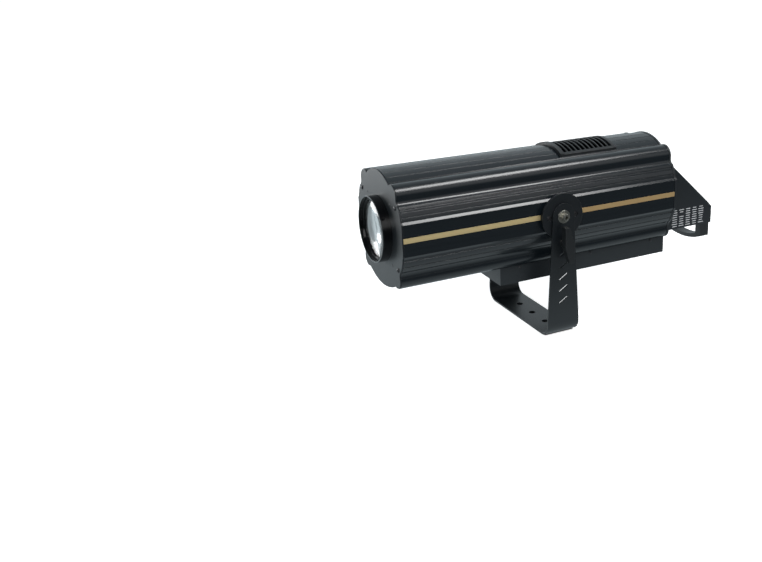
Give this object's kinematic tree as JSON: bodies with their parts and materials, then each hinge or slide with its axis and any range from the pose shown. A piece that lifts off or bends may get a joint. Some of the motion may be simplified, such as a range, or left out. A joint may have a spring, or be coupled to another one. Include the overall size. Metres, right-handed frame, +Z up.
{
  "type": "profile spotlight",
  "caption": "Long black profile spotlight with a grooved extruded housing that tilts in a U-shaped yoke, a front lens in a round hood, a top vent and a sloped rear control box.",
  "frame": {"origin": "centre of the middle mounting hole on the underside of the yoke", "axes": "+Z up, the beam leaves along -Y, +X is the side of the buttons on the rear panel"},
  "size_m": [0.278, 0.7086, 0.3374],
  "materials": {
    "extrusion_black": "satin",
    "sheet_black": "satin",
    "yoke_black": "satin",
    "hood_black": "gloss",
    "moulded_black": "matte",
    "gloss_black": "gloss",
    "gold_strip": "satin",
    "bright_steel": "polished",
    "dark_steel": "satin",
    "plain_aluminium": "satin",
    "brass_bush": "satin",
    "fibre": "matte",
    "circuit_green": "satin",
    "led_face": "satin",
    "lens_glass": "polished",
    "filter_glass": "polished",
    "display_glass": "gloss"
  },
  "bodies": {
    "yoke": {"yoke_strap": "yoke_black", "clamp_jaws": "dark_steel", "clamp_studs": "bright_steel", "friction_washers": "fibre"},
    "housing": {"housing_extrusion": "extrusion_black", "front_plate": "sheet_black", "plate_screws": "dark_steel", "lens_hood": "hood_black", "hood_rivets": "sheet_black", "accent_strips": "gold_strip", "vent_cover": "moulded_black", "rear_plate": "sheet_black", "pivot_disc_right": "yoke_black", "pivot_disc_left": "yoke_black", "pivot_bosses": "dark_steel", "disc_screws": "dark_steel", "pivot_washers": "bright_steel", "pivot_bolts": "bright_steel", "pivot_nuts": "bright_steel", "control_box": "sheet_black", "control_panel": "moulded_black", "display_module": "display_glass", "control_board": "circuit_green", "button_switches": "gloss_black", "power_switch_frame": "gloss_black", "mains_inlet": "moulded_black", "signal_sockets": "dark_steel", "rear_handle": "moulded_black", "driver_tray": "sheet_black", "tray_blocks": "plain_aluminium", "case_screws": "bright_steel", "led_drivers": "plain_aluminium", "chassis_plate": "plain_aluminium", "front_bulkhead": "plain_aluminium", "gate_bulkhead": "plain_aluminium", "guide_rods": "bright_steel", "focus_motor": "dark_steel", "wheel_motor": "dark_steel", "condenser_holder": "plain_aluminium", "condenser_lenses": "lens_glass", "led_board": "led_face", "heatsink": "plain_aluminium", "fan_frame": "moulded_black"},
    "lens_carriage": {"lens_barrel": "hood_black", "front_lens": "lens_glass", "rear_lens": "lens_glass", "lens_rings": "hood_black", "slide_bushes": "brass_bush", "focus_rack": "plain_aluminium"},
    "focus_pinion": {"focus_pinion": "brass_bush"},
    "colour_wheel": {"colour_wheel": "plain_aluminium", "colour_filters": "filter_glass"},
    "fan_rotor": {"fan_rotor": "moulded_black"},
    "power_rocker": {"power_rocker": "gloss_black"},
    "button_1": {"button_1": "moulded_black"},
    "button_2": {"button_2": "moulded_black"},
    "button_3": {"button_3": "moulded_black"},
    "button_4": {"button_4": "moulded_black"},
    "wing_knob_right": {"wing_knob_right": "moulded_black"},
    "wing_knob_left": {"wing_knob_left": "moulded_black"}
  },
  "joints": [
    {"name": "tilt", "type": "hinge", "parent": "yoke", "child": "housing", "pos_m": [0, 0, 0.23], "axis": [1, 0, 0], "range_deg": [-45, 45]},
    {"name": "focus", "type": "slide", "parent": "housing", "child": "lens_carriage", "axis": [0, 1, 0], "range_m": [0, 0.04]},
    {"name": "focus_pinion_turn", "type": "hinge", "parent": "housing", "child": "focus_pinion", "pos_m": [0, -0.2435, 0.1595], "axis": [1, 0, 0], "range_deg": [-330, 0]},
    {"name": "colour_wheel_turn", "type": "hinge", "parent": "housing", "child": "colour_wheel", "pos_m": [0, -0.104, 0.261], "axis": [0, 1, 0], "continuous": true},
    {"name": "fan_turn", "type": "hinge", "parent": "housing", "child": "fan_rotor", "pos_m": [0, 0.145, 0.227], "axis": [0, 1, 0], "continuous": true},
    {"name": "power_switch", "type": "hinge", "parent": "housing", "child": "power_rocker", "pos_m": [-0.0025, 0.383, 0.16035], "axis": [1, 0, 0], "range_deg": [0, 12]},
    {"name": "knob_right_turn", "type": "hinge", "parent": "yoke", "child": "wing_knob_right", "pos_m": [0.13, 0, 0.181], "axis": [1, 0, 0], "range_deg": [0, 450]},
    {"name": "knob_left_turn", "type": "hinge", "parent": "yoke", "child": "wing_knob_left", "pos_m": [-0.13, 0, 0.181], "axis": [-1, 0, 0], "range_deg": [0, 450]},
    {"name": "button_1_press", "type": "slide", "parent": "housing", "child": "button_1", "axis": [0, -0.6798, -0.7334], "range_m": [0, 0.0012], "stiffness_N_per_m": 300, "springref_m": -0.001},
    {"name": "button_2_press", "type": "slide", "parent": "housing", "child": "button_2", "axis": [0, -0.6798, -0.7334], "range_m": [0, 0.0012], "stiffness_N_per_m": 300, "springref_m": -0.001},
    {"name": "button_3_press", "type": "slide", "parent": "housing", "child": "button_3", "axis": [0, -0.6798, -0.7334], "range_m": [0, 0.0012], "stiffness_N_per_m": 300, "springref_m": -0.001},
    {"name": "button_4_press", "type": "slide", "parent": "housing", "child": "button_4", "axis": [0, -0.6798, -0.7334], "range_m": [0, 0.0012], "stiffness_N_per_m": 300, "springref_m": -0.001}
  ],
  "couplings": [
    {"joint": "focus_pinion_turn", "follows": "focus", "rad_per_m": -142.86}
  ]
}
